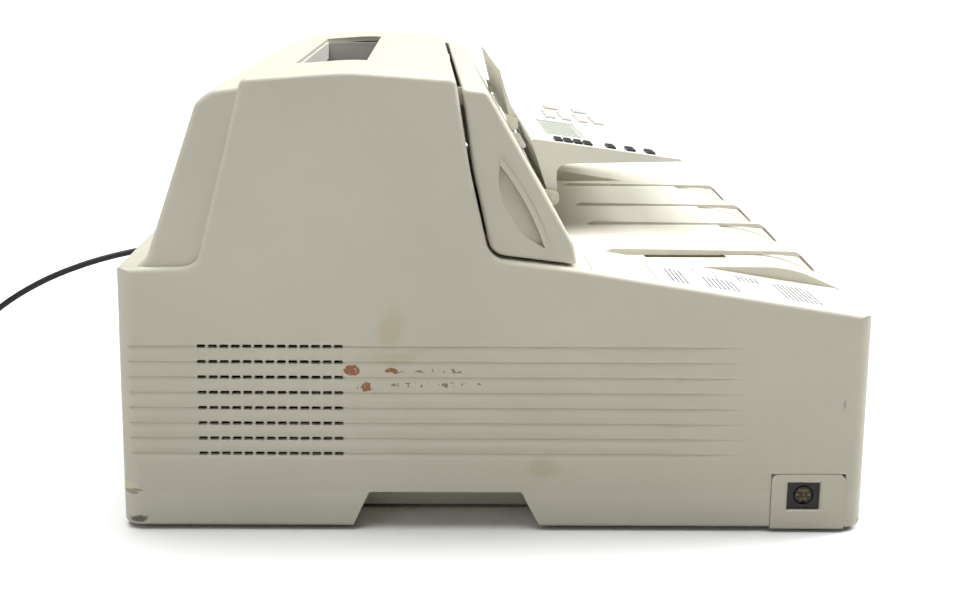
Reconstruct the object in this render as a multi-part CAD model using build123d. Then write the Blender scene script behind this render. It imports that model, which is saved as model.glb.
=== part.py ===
from build123d import *
import math
import os

# Plain-paper laser fax machine. Millimetres, +Z up, front towards -Y.
# The origin is under the middle of the machine, on the surface that it stands on.

# ---------------------------------------------------------------- driving dimensions
WIDTH = 371.0
DEPTH = 351.0
FOOT_HEIGHT = 2.0
SEAM_HEIGHT = 19.3
LEDGE_HEIGHT = 126.5
CROWN_HEIGHT = 217.0
RIM_REAR_HEIGHT = 126.9
RIM_FRONT_HEIGHT = 104.8
DECK_HEIGHT = 116.0
WALL = 3.0
CORNER_RADIUS = 9.0
RIM_RADIUS = 2.6
PLATE_STANDS_OUT = 0.8
TOWER_INSET = 4.0
CENTRE_HALF_WIDTH = 131.5

LEFT = -WIDTH / 2 + PLATE_STANDS_OUT
RIGHT = WIDTH / 2
FRONT = -DEPTH / 2
REAR = DEPTH / 2

COVER_LEFT = LEFT + TOWER_INSET
COVER_RIGHT = RIGHT - TOWER_INSET
COVER_AXIS = (19.9, 206.0)
COVER_PIN_RADIUS = 1.5
COVER_LUG_RADIUS = 3.8
COVER_LUG_INSET = 6.0
RUNNING_CLEARANCE = 0.05

PANEL_LEFT = -44.0
PANEL_RIGHT = 176.0
PANEL_AXIS = (-39.4, 135.8)
PANEL_TOP_REAR = (-26.5, 168.6)
PANEL_TOP_FRONT = (-111.3, 157.0)
PANEL_SKIN = 1.2
KEY_PROUD = 1.3
KEY_SUNK = 1.0
KEY_GAP = 0.3

GROOVE_TOP = 89.9
GROOVE_PITCH = 7.43
GROOVE_COUNT = 8
GROOVE_DEPTH = 1.1
SLOT_COUNT = 13
SLOT_PITCH = 5.3
SLOT_FIRST = 70.6
SLOT_LENGTH = 4.0
SLOT_HEIGHT = 1.7

FRAME_LEFT = -150.0
FRAME_RIGHT = 150.0
FRAME_THICKNESS = 3.0

CORD_DIAMETER = 4.0
COIL_CENTRE = (72.0, 388.0)
COIL_RADIUS = 23.0
COIL_BUNDLE = 16.0

FEED_MIDDLE = 66.0
FEED_AXIS = (-19.2, 155.2)
FEED_RADIUS = 7.0
FEED_SHAFT = 2.5
PANEL_PIN = 1.2
FLAP_AXIS = (-16.4, 177.2)
FLAP_PIN = 1.0
COVER_WALL = 2.2

PLATE_Y = (-165.6, -130.5)
PLATE_Z = (FOOT_HEIGHT, 28.8)
SOCKET_Y = (-153.2, -138.8)
SOCKET_Z = (11.8, 24.4)
INLET_X = (-135.0, -107.0)
INLET_Z = (38.0, 58.0)
JACKS_X = (55.0, 87.0)
JACKS_Z = (75.0, 93.0)
TRAY_HALF = 104.0

os.makedirs("parts", exist_ok=True)
pieces = {}


def block(x, y, z):
    size = [high - low for low, high in (x, y, z)]
    middle = [(high + low) / 2 for low, high in (x, y, z)]
    return Pos(*middle) * Box(*size)


def rod(radius, x, y, z):
    return Pos((x[0] + x[1]) / 2, y, z) * Rot(0, 90, 0) * Cylinder(radius, x[1] - x[0])


def post(radius, x, y, z):
    return Pos(x, y, (z[0] + z[1]) / 2) * Cylinder(radius, z[1] - z[0])


def side_face(corners):
    """A face in the side view. Each corner is (y, z, radius)."""
    points = [(y, z) for y, z, _ in corners]
    radii = [radius for _, _, radius in corners]
    return Plane.YZ * make_face(FilletPolyline(*points, radius=radii, close=True))


def side_bar(corners, x):
    """A bar across the machine with the side view that the corners give."""
    return extrude(Pos(x[0], 0, 0) * side_face(corners), amount=x[1] - x[0], dir=(1, 0, 0))


def plan_bar(x, y, z, radius):
    """An upright bar with a rounded rectangle as its plan."""
    face = RectangleRounded(x[1] - x[0], y[1] - y[0], radius)
    return extrude(Pos((x[0] + x[1]) / 2, (y[0] + y[1]) / 2, z[0]) * face, amount=z[1] - z[0])


def end_edges(bar, x):
    """The edges in the two end planes of a bar that lies across the machine."""
    return [edge for edge in bar.edges() if min(abs(edge.center().X - end) for end in x) < 0.1]


def roller(core_radius, length, shaft_radius, shaft_length, y, z, middle=0.0):
    """A roller with a stepped shaft, lying across the machine."""
    body = rod(core_radius, (middle - length / 2, middle + length / 2), y, z)
    shaft = rod(shaft_radius, (middle - shaft_length / 2, middle + shaft_length / 2), y, z)
    return body + shaft


# ---------------------------------------------------------------- upper casing
BELT_REAR_FOOT = (137.7, 127.2)
BELT_REAR_TOP = (115.6, 213.8)
BELT_FRONT_TOP = (19.3, 213.8)
BELT_FRONT_WAIST = (12.4, 172.0)
BELT_FRONT_FOOT = (3.0, 131.5)

casing_side = [
    (REAR, SEAM_HEIGHT, 0),
    (REAR, LEDGE_HEIGHT, 2.5),
    (*BELT_REAR_FOOT, 9),
    (*BELT_REAR_TOP, 4),
    (68.0, CROWN_HEIGHT + 0.3, 120),
    (*BELT_FRONT_TOP, 3),
    (*BELT_FRONT_WAIST, 100),
    (*BELT_FRONT_FOOT, 10),
    (-37.2, RIM_REAR_HEIGHT, 20),
    (FRONT, RIM_FRONT_HEIGHT, 4),
    (FRONT, SEAM_HEIGHT, 0),
]
deck_side = [
    (-33.0, 100.0, 0),
    (-33.0, DECK_HEIGHT, 0),
    (-150.0, DECK_HEIGHT, 60),
    (FRONT, 104.5, 3),
    (FRONT, 96.0, 0),
    (-160.0, 96.0, 0),
]


def grooves():
    """The cutter for the eight grooves of one side wall: pillows between sharp valleys."""
    half = GROOVE_PITCH / 2
    valleys = [GROOVE_TOP - index * GROOVE_PITCH for index in range(GROOVE_COUNT)]
    edges = [Edge.make_line((-4, 0, valleys[0] + half), (0, 0, valleys[0] + half))]
    edges.append(
        Edge.make_three_point_arc(
            (0, 0, valleys[0] + half), (0.3, 0, valleys[0] + 0.4 * half), (GROOVE_DEPTH, 0, valleys[0])
        )
    )
    for high, low in zip(valleys, valleys[1:]):
        crest = (high + low) / 2
        edges.append(
            Edge.make_three_point_arc((GROOVE_DEPTH, 0, high), (0, 0, crest), (GROOVE_DEPTH, 0, low))
        )
    last = valleys[-1]
    edges.append(
        Edge.make_three_point_arc(
            (GROOVE_DEPTH, 0, last), (0.3, 0, last - 0.4 * half), (0, 0, last - half)
        )
    )
    edges.append(Edge.make_line((0, 0, last - half), (-4, 0, last - half)))
    edges.append(Edge.make_line((-4, 0, last - half), (-4, 0, valleys[0] + half)))
    face = Face(Wire(edges))
    straight_end = -78.0
    fade = 42.0
    straight = extrude(Pos(0, REAR + 2, 0) * face, amount=REAR + 2 - straight_end, dir=(0, -1, 0))
    lean = Vector(-GROOVE_DEPTH * 1.02, -fade, 0)
    faded = extrude(Pos(0, straight_end, 0) * face, amount=lean.length, dir=lean)
    return straight + faded


def vent_slots(x):
    slots = []
    for row in range(GROOVE_COUNT):
        height = GROOVE_TOP - row * GROOVE_PITCH
        for column in range(SLOT_COUNT):
            start = SLOT_FIRST + column * SLOT_PITCH
            span = (height - SLOT_HEIGHT / 2, height + SLOT_HEIGHT / 2)
            slots.append(block(x, (start, start + SLOT_LENGTH), span))
    return slots


def make_casing():
    outer = side_bar(casing_side, (LEFT, RIGHT))
    rim = [edge for edge in end_edges(outer, (LEFT, RIGHT)) if edge.center().Z > 100]
    outer = fillet(rim, RIM_RADIUS)
    outer = outer & plan_bar((LEFT, RIGHT), (FRONT, REAR), (SEAM_HEIGHT, CROWN_HEIGHT + 5), CORNER_RADIUS)
    # level middle of the deck: let into the rim at the back, proud of it at the front
    outer = outer - block(
        (-CENTRE_HALF_WIDTH, CENTRE_HALF_WIDTH), (FRONT - 5, -37.2), (DECK_HEIGHT, DECK_HEIGHT + 30)
    )
    outer = outer + side_bar(deck_side, (-CENTRE_HALF_WIDTH, CENTRE_HALF_WIDTH))
    # hollow inside
    hollow_face = offset(side_face(casing_side), amount=-WALL)
    hollow = extrude(Pos(LEFT + WALL, 0, 0) * hollow_face, amount=RIGHT - LEFT - 2 * WALL, dir=(1, 0, 0))
    hollow = hollow + block(
        (LEFT + WALL, RIGHT - WALL), (FRONT + WALL, REAR - WALL), (SEAM_HEIGHT - 1, SEAM_HEIGHT + WALL + 1)
    )
    hollow = hollow - block(
        (-CENTRE_HALF_WIDTH - WALL, CENTRE_HALF_WIDTH + WALL),
        (FRONT, -34.2),
        (DECK_HEIGHT - WALL, DECK_HEIGHT + 30),
    )
    hollow = hollow - side_bar(
        [(-130, 113, 0), (-148.9, 113, 60), (-172, 102.0, 0), (-172, 118, 0), (-130, 118, 0)],
        (-CENTRE_HALF_WIDTH - WALL, CENTRE_HALF_WIDTH + WALL),
    )
    casing = outer - hollow
    # the tower is open towards the front cover
    inner = (LEFT + WALL, RIGHT - WALL)
    open_front = [
        (-2.0, 134.5, 0),
        (4.0, 137.0, 6),
        (21.0, 172.0, 60),
        (26.0, 210.2, 0),
        (10.0, 214.5, 0),
        (-8.0, 214.5, 0),
    ]
    casing = casing - side_bar(open_front, inner)
    casing = casing - block((-146, 146), (-34.2, 26), (122, 176))
    # slot where the printed page comes out under the front cover
    casing = casing - block((-112, 112), (-40, -30), (117.6, 124.4))
    # sheet feeder mouth in the crown
    casing = casing - block((-111, 111), (62, 98), (205, 225))
    # side grooves and vents
    left_grooves = Pos(LEFT, 0, 0) * grooves()
    right_grooves = Pos(RIGHT, 0, 0) * mirror(grooves(), about=Plane.YZ)
    casing = casing - left_grooves - right_grooves
    slots = vent_slots((LEFT - 2, LEFT + WALL + 2)) + vent_slots((RIGHT - WALL - 2, RIGHT + 2))
    casing = casing - slots
    # notch for the side socket plate
    casing = casing - block((LEFT - 1, LEFT + WALL + 1), PLATE_Y, (SEAM_HEIGHT - 1, PLATE_Z[1]))
    # rear windows for the mains inlet and the telephone jacks
    casing = casing - block(INLET_X, (REAR - WALL - 1, REAR + 1), INLET_Z)
    casing = casing - block(JACKS_X, (REAR - WALL - 1, REAR + 1), JACKS_Z)
    # finger groove beside the output tray
    finger_x = (-TRAY_HALF - 6, -TRAY_HALF + 4)
    casing = casing - block(finger_x, (-123, -81), (DECK_HEIGHT - 1.6, DECK_HEIGHT + 1))
    # recess for the small blank plate in the left strip
    casing = casing - strip_plate(0.35, 1.5, 3.0)
    # bosses that carry the front cover
    reach = COVER_LUG_INSET + COVER_WALL + 1.0
    for x in ((LEFT + WALL - 0.1, COVER_LEFT + reach), (COVER_RIGHT - reach, RIGHT - WALL + 0.1)):
        casing = casing + rod(COVER_PIN_RADIUS, x, *COVER_AXIS)
    return casing


def rim_line(y):
    """Height of the sloping rim in front of the front cover."""
    share = (-37.2 - y) / (-37.2 - FRONT)
    return RIM_REAR_HEIGHT + share * (RIM_FRONT_HEIGHT - RIM_REAR_HEIGHT)


def strip_plate(grow, depth, above):
    """The blank plate let into the left strip of the deck."""
    y_rear, y_front = -44.5 + grow, -74.5 - grow
    corners = [
        (y_rear, rim_line(y_rear) - depth, 0),
        (y_rear, rim_line(y_rear) + above, 0),
        (y_front, rim_line(y_front) + above, 0),
        (y_front, rim_line(y_front) - depth, 0),
    ]
    return side_bar(corners, (LEFT + 4.0 - grow, LEFT + 36.0 + grow))


pieces["casing"] = make_casing()
pieces["strip_plate"] = strip_plate(0, 1.4, 0)

# ---------------------------------------------------------------- base tray
RECESS_TOP = (-12.2, 57.9)
RECESS_FOOT = (-22.7, 67.0)
RECESS_DEEP = 26.0
RECESS_WALL = 2.5


def recesses(grow):
    """The hand recesses in the two sides of the base: wedges open to the side and below."""
    corners = [
        (RECESS_FOOT[0] - grow, FOOT_HEIGHT - 1, 0),
        (RECESS_FOOT[1] + grow, FOOT_HEIGHT - 1, 0),
        (RECESS_TOP[1] + grow, SEAM_HEIGHT + 1.5, 0),
        (RECESS_TOP[0] - grow, SEAM_HEIGHT + 1.5, 0),
    ]
    deep = RECESS_DEEP + grow
    return side_bar(corners, (LEFT - 2, LEFT + deep)) + side_bar(corners, (RIGHT - deep, RIGHT + 2))


def make_base():
    outer = plan_bar((LEFT, RIGHT), (FRONT, REAR), (FOOT_HEIGHT, SEAM_HEIGHT), CORNER_RADIUS)
    outer = fillet(outer.faces().sort_by(Axis.Z)[0].edges(), 2.0)
    hollow = plan_bar(
        (LEFT + WALL, RIGHT - WALL),
        (FRONT + WALL, REAR - WALL),
        (FOOT_HEIGHT + WALL, SEAM_HEIGHT + 1),
        CORNER_RADIUS - WALL,
    )
    base = outer - recesses(0) - (hollow - recesses(RECESS_WALL))
    # roofs over the recesses, inside the casing
    roof_y = (RECESS_TOP[0] - RECESS_WALL, RECESS_TOP[1] + RECESS_WALL)
    deep = RECESS_DEEP + RECESS_WALL
    for x in ((LEFT + WALL + 0.2, LEFT + deep), (RIGHT - deep, RIGHT - WALL - 0.2)):
        base = base + block(x, roof_y, (SEAM_HEIGHT, SEAM_HEIGHT + 1.2))
    # notch for the side socket plate
    base = base - block((LEFT - 1, LEFT + WALL + 1), PLATE_Y, (FOOT_HEIGHT - 1, SEAM_HEIGHT + 1))
    # air openings in the floor under the power supply
    for index in range(9):
        x = -90 + index * 22.5
        base = base - block((x - 7, x + 7), (60, 64), (0, 8))
        base = base - block((x - 7, x + 7), (72, 76), (0, 8))
    return base


pieces["base_tray"] = make_base()

feet = [post(9.0, x, y, (0, FOOT_HEIGHT)) for x in (-150, 150) for y in (-140, 140)]
pieces["rubber_feet"] = Compound(children=feet)

# ---------------------------------------------------------------- side socket
def make_socket_plate():
    plate_x = (-WIDTH / 2, LEFT + WALL)
    plate_y = (PLATE_Y[0] + 0.25, PLATE_Y[1] - 0.25)
    plate = block(plate_x, plate_y, (PLATE_Z[0], PLATE_Z[1] - 0.25))
    top_edges = [edge for edge in plate.edges().filter_by(Axis.X) if edge.center().Z > 20]
    plate = fillet(top_edges, 3.0)
    opening_y = (SOCKET_Y[0] - 0.6, SOCKET_Y[1] + 0.5)
    opening_z = (SOCKET_Z[0] - 0.8, SOCKET_Z[1] + 0.3)
    plate = plate - block((plate_x[0] - 1, plate_x[1] + 1), opening_y, opening_z)
    rim = [
        edge
        for edge in plate.faces().sort_by(Axis.X)[0].edges()
        if opening_y[0] - 0.1 < edge.center().Y < opening_y[1] + 0.1
        and opening_z[0] - 0.1 < edge.center().Z < opening_z[1] + 0.1
    ]
    return chamfer(rim, 0.7)


def make_side_socket():
    face_x = -WIDTH / 2 + 1.6
    body = block((face_x, face_x + 12), SOCKET_Y, SOCKET_Z)
    y = (SOCKET_Y[0] + SOCKET_Y[1]) / 2 - 0.2
    z = (SOCKET_Z[0] + SOCKET_Z[1]) / 2
    groove = rod(4.75, (face_x - 1, face_x + 3), y, z) - rod(4.15, (face_x - 1, face_x + 3), y, z)
    body = body - groove
    rows = ((2.2, (-1.6, 0.0, 1.6)), (0.2, (-2.6, 0.0, 2.6)), (-1.8, (-1.0, 1.0)))
    for up, across in rows:
        for shift in across:
            body = body - rod(0.45, (face_x - 1, face_x + 5), y + shift, z + up)
    body = body - block((face_x - 1, face_x + 4), (y - 1.1, y + 1.1), (z - 4.0, z - 3.2))
    return body


pieces["socket_plate"] = make_socket_plate()
pieces["side_socket"] = make_side_socket()

# ---------------------------------------------------------------- rear connectors
CORD_X = 63.0
CORD_Z = 83.0
JACK_SPACING = 16.0


def connector_block(x, y_low, z):
    """A connector's body: it fills its window in the rear wall with a small gap all round."""
    return block((x[0] + 0.2, x[1] - 0.2), (y_low, REAR - 0.2), (z[0] + 0.2, z[1] - 0.2))


def make_mains_inlet():
    middle_x = (INLET_X[0] + INLET_X[1]) / 2
    middle_z = (INLET_Z[0] + INLET_Z[1]) / 2
    body = connector_block(INLET_X, REAR - 22, INLET_Z)
    well_x = (middle_x - 11.5, middle_x + 11.5)
    body = body - block(well_x, (REAR - 17, REAR + 1), (middle_z - 7.5, middle_z + 7.5))
    for shift_x, shift_z in ((-7, -1.5), (0, 2.5), (7, -1.5)):
        x = middle_x + shift_x
        z = middle_z + shift_z
        body = body + block((x - 1.0, x + 1.0), (REAR - 17.5, REAR - 4), (z - 2, z + 2))
    return body


def make_phone_jacks():
    body = connector_block(JACKS_X, REAR - 16, JACKS_Z)
    for x in (CORD_X, CORD_X + JACK_SPACING):
        body = body - block((x - 5.2, x + 5.2), (REAR - 13, REAR + 1), (CORD_Z - 3.9, CORD_Z + 3.9))
        body = body - block((x - 2.2, x + 2.2), (REAR - 13, REAR + 1), (CORD_Z - 6.2, CORD_Z - 3.8))
    return body


pieces["mains_inlet"] = make_mains_inlet()
pieces["phone_jacks"] = make_phone_jacks()

# ---------------------------------------------------------------- rear tower cover
rear_side = [
    (165.5, 126.8, 0),
    (160.8, 131.5, 5),
    (136.9, 202.3, 9),
    (129.5, 208.4, 12),
    (116.65, 210.2, 0),
    (137.85, 127.3, 8.9),
]


def make_rear_cover():
    cover = side_bar(rear_side, (COVER_LEFT, COVER_RIGHT))
    shown = [
        edge
        for edge in end_edges(cover, (COVER_LEFT, COVER_RIGHT))
        if edge.center().Z > 205 or (edge.center().Y > 130 and edge.center().Z > 133)
    ]
    cover = fillet(shown, 3.0)
    hollow = side_bar(
        [(157.5, 132.5, 0), (134.3, 200.8, 6), (128.0, 205.6, 8), (110.0, 208.0, 0), (128.0, 132.5, 0)],
        (COVER_LEFT + WALL, COVER_RIGHT - WALL),
    )
    return cover - hollow


pieces["rear_cover"] = make_rear_cover()

# ---------------------------------------------------------------- output tray
RIB_SPACING = 73.5
RIB_MIDDLE = 29.5


def make_output_tray():
    tray = block((-TRAY_HALF, TRAY_HALF), (-136.0, -46.0), (DECK_HEIGHT, DECK_HEIGHT + 1.3))
    rib_side = [
        (-60.0, DECK_HEIGHT + 1.0, 0),
        (-64.0, DECK_HEIGHT + 3.2, 3),
        (-161.0, DECK_HEIGHT + 1.8, 5.5),
        (-171.2, 107.2, 0),
        (-169.0, 107.9, 0),
        (-161.6, DECK_HEIGHT - 1.0, 5),
        (-150.0, DECK_HEIGHT + 0.2, 0),
        (-136.0, DECK_HEIGHT + 0.1, 0),
        (-134.0, DECK_HEIGHT + 1.0, 0),
    ]
    for x in (-RIB_MIDDLE - RIB_SPACING, -RIB_MIDDLE, RIB_MIDDLE, RIB_MIDDLE + RIB_SPACING):
        tray = tray + side_bar(rib_side, (x - 1.0, x + 1.0))
    return tray


pieces["output_tray"] = make_output_tray() - pieces["casing"]

# ---------------------------------------------------------------- front cover
cover_side = [
    (16.4, 209.4, 1.2),
    (4.9, 207.9, 4),
    (-35.7, 137.6, 6),
    (-37.4, 128.0, 1.2),
    (2.2, 132.9, 9),
    (11.2, 172.0, 100),
]


def slope_y(z):
    """The y of the front cover's sloping face at a height."""
    share = (207.9 - z) / (207.9 - 137.6)
    return 4.9 + share * (-35.7 - 4.9)


def grip_outline(grow):
    """The lens of the finger grip: its front edge is a long arc, its rear edge a fuller one."""
    top = Vector(0, -1.5 + 0.4 * grow, 178.0 + grow)
    foot = Vector(0, -25.3 - 0.4 * grow, 134.8 - 0.4 * grow)
    front_arc = Edge.make_three_point_arc(top, (0, -16.0 - 0.8 * grow, 156.4 + 0.3 * grow), foot)
    rear_arc = Edge.make_three_point_arc(foot, (0, -4.6 + grow, 152.0 - 0.5 * grow), top)
    return Face(Wire([front_arc, rear_arc]))


def grip_lens(grow, x_low, x_high):
    return extrude(Pos(x_low, 0, 0) * grip_outline(grow), amount=x_high - x_low, dir=(1, 0, 0))


def grip_cut():
    """The scoop of the left grip: nothing deep at its rear edge, deepest under its front edge."""
    lean = math.degrees(math.atan2(5.0, 13.0))
    slab = Box(40, 60, 90, align=(Align.MAX, Align.CENTER, Align.CENTER))
    slab = Pos(0, -4.5, 154.0) * Rot(-29.7, 0, 0) * Rot(0, 0, lean) * slab
    return slab & grip_lens(-0.4, -3, 8)


def make_front_cover():
    outer = side_bar(cover_side, (COVER_LEFT, COVER_RIGHT))
    shown = [
        edge
        for edge in end_edges(outer, (COVER_LEFT, COVER_RIGHT))
        if edge.center().Z > 207.5 or edge.center().Y < slope_y(edge.center().Z) + 6
    ]
    outer = fillet(shown, 2.2)
    hollow_side = [
        (26.0, 207.8, 0),
        (6.2, 205.6, 3),
        (-33.1, 137.4, 4),
        (-34.4, 130.6, 0),
        (1.0, 135.0, 5),
        (26.0, 139.0, 0),
    ]
    hollow = side_bar(hollow_side, (COVER_LEFT + COVER_WALL, COVER_RIGHT - COVER_WALL))
    for x in ((COVER_LEFT, COVER_LEFT + 8.5), (COVER_RIGHT - 8.5, COVER_RIGHT)):
        hollow = hollow - grip_lens(3, *x)
    cover = outer - hollow
    scoop = grip_cut()
    lip = grip_lens(0.0, -1.1, 1.5) - Pos(0, 2.3, -1.2) * grip_lens(0.3, -2, 3)
    cover = cover - Pos(COVER_LEFT, 0, 0) * scoop - Pos(COVER_RIGHT, 0, 0) * mirror(scoop, about=Plane.YZ)
    cover = cover + Pos(COVER_LEFT, 0, 0) * lip + Pos(COVER_RIGHT, 0, 0) * mirror(lip, about=Plane.YZ)
    # lugs inside the crown, with bores for the bosses that it turns on
    axis_y, axis_z = COVER_AXIS
    lug = [
        (5.0, 206.5, 0),
        (axis_y, axis_z + COVER_LUG_RADIUS, 0),
        (axis_y, axis_z - COVER_LUG_RADIUS, 0),
        (4.5, 198.0, 0),
    ]
    for x in (COVER_LEFT + COVER_LUG_INSET, COVER_RIGHT - COVER_LUG_INSET - COVER_WALL):
        span = (x, x + COVER_WALL)
        cover = cover + side_bar(lug, span) + rod(COVER_LUG_RADIUS, span, *COVER_AXIS)
    bore_radius = COVER_PIN_RADIUS + RUNNING_CLEARANCE
    cover = cover - rod(bore_radius, (COVER_LEFT - 1, COVER_LEFT + 10), *COVER_AXIS)
    cover = cover - rod(bore_radius, (COVER_RIGHT - 10, COVER_RIGHT + 1), *COVER_AXIS)
    # window for the document feed roller, and the ribs that carry its shaft
    window = [(-31.0, 164.0, 0), (-12.0, 164.0, 0), (-12.0, 147.0, 0), (-38.0, 147.0, 0)]
    cover = cover - side_bar(window, (FEED_MIDDLE - 31, FEED_MIDDLE + 31))
    for x in (FEED_MIDDLE - 38, FEED_MIDDLE + 36):
        rib = [(-22.0, 160.0, 0), (-10.0, 160.0, 3), (-10.0, 149.0, 3), (-28.4, 149.0, 0)]
        cover = cover + side_bar(rib, (x, x + 2))
        cover = cover - rod(FEED_SHAFT + RUNNING_CLEARANCE, (x - 1, x + 3), *FEED_AXIS)
    # ears for the control panel hinge
    for x in (PANEL_LEFT - 3.6, PANEL_RIGHT + 0.6):
        ear = [(-33.5, 140.5, 0), (-42.3, 139.5, 3.0), (-42.8, 132.0, 3.0), (-35.0, 131.0, 0)]
        cover = cover + side_bar(ear, (x, x + 3.0))
        cover = cover - rod(PANEL_PIN + RUNNING_CLEARANCE, (x - 0.5, x + 3.5), *PANEL_AXIS)
    # ears for the document flap hinge
    for x in (PANEL_LEFT - 2.4, PANEL_RIGHT + 0.4):
        ear = [(-11.5, 183.0, 0), (-18.9, 179.6, 2.0), (-19.2, 174.6, 2.0), (-14.5, 173.0, 0)]
        cover = cover + side_bar(ear, (x, x + 2.0))
        cover = cover - rod(FLAP_PIN + RUNNING_CLEARANCE, (x - 0.5, x + 2.5), *FLAP_AXIS)
    return cover


pieces["front_cover"] = make_front_cover()

# ---------------------------------------------------------------- document feed, on the cover
pieces["feed_roller"] = roller(FEED_RADIUS, 58.0, FEED_SHAFT, 80.0, *FEED_AXIS, FEED_MIDDLE)


def make_document_flap():
    flap = side_bar(
        [(-18.0, 176.0, 1.0), (-8.4, 207.3, 0.3), (-7.6, 207.5, 0.3), (-14.8, 178.2, 1.0)],
        (PANEL_LEFT, PANEL_RIGHT),
    )
    flap = flap + rod(1.9, (PANEL_LEFT, PANEL_RIGHT), *FLAP_AXIS)
    return flap + rod(FLAP_PIN, (PANEL_LEFT - 2.4, PANEL_RIGHT + 2.4), *FLAP_AXIS)


pieces["document_flap"] = make_document_flap()
GUIDE_MIDDLE = (PANEL_LEFT + PANEL_RIGHT) / 2
GUIDE_SPAN = 214.0


def make_guide(side):
    """A blade square to the cover's slope, on a foot that points to the middle."""
    x = GUIDE_MIDDLE + side * GUIDE_SPAN / 2
    blade = [
        (slope_y(172) - 0.3, 172, 0),
        (slope_y(172) - 4.6, 171, 1.5),
        (slope_y(163) - 4.0, 163, 1.5),
        (slope_y(163) - 0.3, 163, 0),
    ]
    foot = [
        (slope_y(171) - 0.3, 171, 0),
        (slope_y(171) - 1.5, 171, 0),
        (slope_y(164) - 1.5, 164, 0),
        (slope_y(164) - 0.3, 164, 0),
    ]
    foot_x = (x - 0.8, x + 8.8) if side < 0 else (x - 8.8, x + 0.8)
    return side_bar(blade, (x - 0.8, x + 0.8)) + side_bar(foot, foot_x)


pieces["document_guide_left"] = make_guide(-1)
pieces["document_guide_right"] = make_guide(1)

# ---------------------------------------------------------------- control panel
PANEL_ANGLE = math.degrees(math.atan2(11.6, 84.8))
PANEL_MIDDLE = (PANEL_LEFT + PANEL_RIGHT) / 2


def on_panel(x, y):
    """A frame on the panel's top face, with its Z square to the face."""
    share = (PANEL_TOP_REAR[0] - y) / (PANEL_TOP_REAR[0] - PANEL_TOP_FRONT[0])
    z = PANEL_TOP_REAR[1] + share * (PANEL_TOP_FRONT[1] - PANEL_TOP_REAR[1])
    return Pos(x, y, z) * Rot(PANEL_ANGLE, 0, 0)


def panel_slab(x, y, size, low, high):
    """A block on the panel: size is its length across and its length down the slope."""
    return on_panel(x, y) * Pos(0, 0, (low + high) / 2) * Box(size[0], size[1], high - low)


key_sizes = {"dial": (11.0, 6.0), "one_touch": (13.0, 4.2), "function": (13.0, 4.6), "large": (20.0, 9.0)}
keys = []
dial = ("1", "2", "3", "4", "5", "6", "7", "8", "9", "star", "0", "hash")
for index, name in enumerate(dial):
    row, column = divmod(index, 3)
    keys.append(("key_" + name, "dial", 88.0 + 15.0 * column, -50.0 - 10.5 * row))
for row in range(4):
    keys.append(("key_one_touch_" + str(row + 1), "one_touch", -32.0, -42.8 - 5.6 * row))
for row, name in enumerate(("key_menu", "key_enter", "key_mode")):
    keys.append((name, "function", -32.0, -72.6 - 11.2 * row))
keys.append(("key_stop", "large", 152.0, -56.0))
keys.append(("key_start", "large", 152.0, -76.0))

WINDOW_PLACE = (28.0, -50.0)
WINDOW_SIZE = (74.0, 24.0)


def make_control_panel():
    wedge = [
        (*PANEL_TOP_REAR, 1.2),
        (*PANEL_TOP_FRONT, 0.4),
        (-111.0, 155.9, 0.4),
        (-41.0, 154.4, 6),
        (-41.6, 136.3, 2.0),
        (-40.2, 133.7, 1.6),
        (-37.6, 134.6, 1.4),
    ]
    panel = side_bar(wedge, (PANEL_LEFT, PANEL_RIGHT))
    hollow = [(-33.5, 157.0, 0), (-31.5, 166.4, 0), (-99.0, 157.2, 0), (-99.0, 156.8, 0)]
    panel = panel - side_bar(hollow, (PANEL_LEFT + 2.2, PANEL_RIGHT - 2.2))
    for name, kind, x, y in keys:
        across, down = key_sizes[kind]
        panel = panel - panel_slab(x, y, (across + 2 * KEY_GAP, down + 2 * KEY_GAP), -1.6, 3.0)
    panel = panel - panel_slab(*WINDOW_PLACE, WINDOW_SIZE, -0.9, 3.0)
    panel = panel - panel_slab(*WINDOW_PLACE, (WINDOW_SIZE[0] - 4, WINDOW_SIZE[1] - 4), -1.6, 3.0)
    panel = panel + rod(PANEL_PIN, (PANEL_LEFT - 3.6, PANEL_RIGHT + 3.6), *PANEL_AXIS)
    # slot for the contact image sensor
    return panel - block((GUIDE_MIDDLE - 106, GUIDE_MIDDLE + 106), (-40.0, -29.0), (155.6, 159.0))


def make_key(kind, x, y):
    across, down = key_sizes[kind]
    cap = panel_slab(x, y, (across, down), -KEY_SUNK, KEY_PROUD)
    return fillet(cap.faces().sort_by(Axis.Z)[-1].edges(), 0.5)


pieces["control_panel"] = make_control_panel()
for name, kind, x, y in keys:
    pieces[name] = make_key(kind, x, y)
window_pane = (WINDOW_SIZE[0] - 0.3, WINDOW_SIZE[1] - 0.3)
pieces["display_window"] = panel_slab(*WINDOW_PLACE, window_pane, -0.85, 0.05)
pieces["image_sensor"] = block((GUIDE_MIDDLE - 105.8, GUIDE_MIDDLE + 105.8), (-39.8, -32.4), (155.7, 158.9))

# ---------------------------------------------------------------- inner frames and print engine
DRUM = (28.0, 104.0)
DRUM_RADIUS = 12.0
TRANSFER = (28.0, 85.6)
TRANSFER_RADIUS = 6.0
HEAT = (-6.0, 107.0)
PRESSURE = (-6.0, 86.6)
FUSER_RADIUS = 10.0
EXIT = (-24.0, 116.0)
EXIT_RADIUS = 6.0
PICKUP = (80.0, 112.0)
PICKUP_RADIUS = 14.0
PLATE_AXIS = (104.0, 196.0)
SHAFT = 3.0
ENGINE_LENGTH = 236.0


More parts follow.
